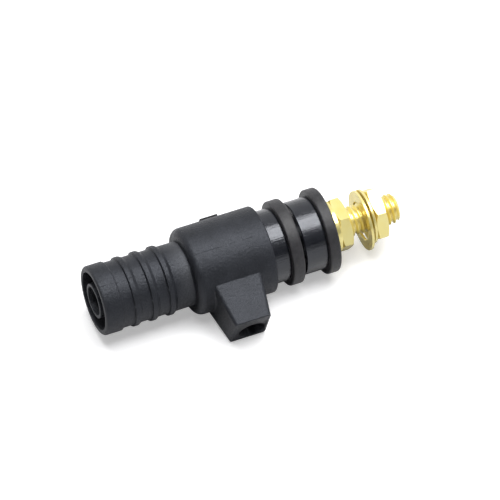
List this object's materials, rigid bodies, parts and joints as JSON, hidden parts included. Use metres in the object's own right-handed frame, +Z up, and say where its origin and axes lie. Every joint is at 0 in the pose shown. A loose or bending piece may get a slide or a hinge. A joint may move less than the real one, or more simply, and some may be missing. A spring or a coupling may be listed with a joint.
{
  "type": "insulated binding post",
  "caption": "Press-to-open binding post with a ribbed insulated housing, a shrouded plug socket, a side cable snout, insulating barrels, and brass nuts and washers on a threaded stud.",
  "frame": {"origin": "on the post's axis, in the rear face of the front ring, which seats on the panel", "axes": "+X along the post towards the threaded stud, +Z up with the part lying on its housing and snout"},
  "size_m": [0.0528, 0.0208, 0.0146],
  "materials": {
    "housing_plastic": "matt moulded",
    "ring_plastic": "matt moulded",
    "barrel_plastic": "glossy moulded",
    "pin_plastic": "glossy moulded",
    "brass": "turned, bright",
    "spring_steel": "drawn wire"
  },
  "bodies": {
    "post": {"contact_post": "brass", "front_barrel": "barrel_plastic", "front_ring": "ring_plastic", "return_spring": "spring_steel"},
    "housing": {"grip_housing": "housing_plastic", "clamp_bush": "brass", "guide_pin": "pin_plastic", "spring_seat": "spring_steel"},
    "rear_bushing": {"rear_barrel": "barrel_plastic", "rear_ring": "ring_plastic", "panel_washer": "brass"},
    "panel_nut": {"panel_nut": "brass"},
    "lug_washers": {"lug_washer": "brass", "spring_washer": "brass"},
    "lug_nut": {"lug_nut": "brass"}
  },
  "joints": [
    {"name": "housing_press", "type": "slide", "parent": "post", "child": "housing", "axis": [1, 0, 0], "range_m": [0, 0.0025], "stiffness_N_per_m": 1500, "springref_m": -0.003, "deforming": ["return_spring"]},
    {"name": "rear_bushing_slide", "type": "slide", "parent": "post", "child": "rear_bushing", "axis": [1, 0, 0], "range_m": [-0.0006, 0.0009]},
    {"name": "panel_nut_turn", "type": "hinge", "parent": "rear_bushing", "child": "panel_nut", "pos_m": [0.00865, 0, 0], "axis": [1, 0, 0], "range_deg": [-274.5, 409.5]},
    {"name": "lug_washers_slide", "type": "slide", "parent": "post", "child": "lug_washers", "axis": [1, 0, 0], "range_m": [-0.0018, 0.002]},
    {"name": "lug_nut_turn", "type": "hinge", "parent": "lug_washers", "child": "lug_nut", "pos_m": [0.01485, 0, 0], "axis": [1, 0, 0], "range_deg": [-814.5, 904.5]}
  ],
  "couplings": [
    {"joint": "panel_nut_turn", "follows": "rear_bushing_slide", "rad_per_m": 7854},
    {"joint": "lug_nut_turn", "follows": "lug_washers_slide", "rad_per_m": 7854}
  ]
}
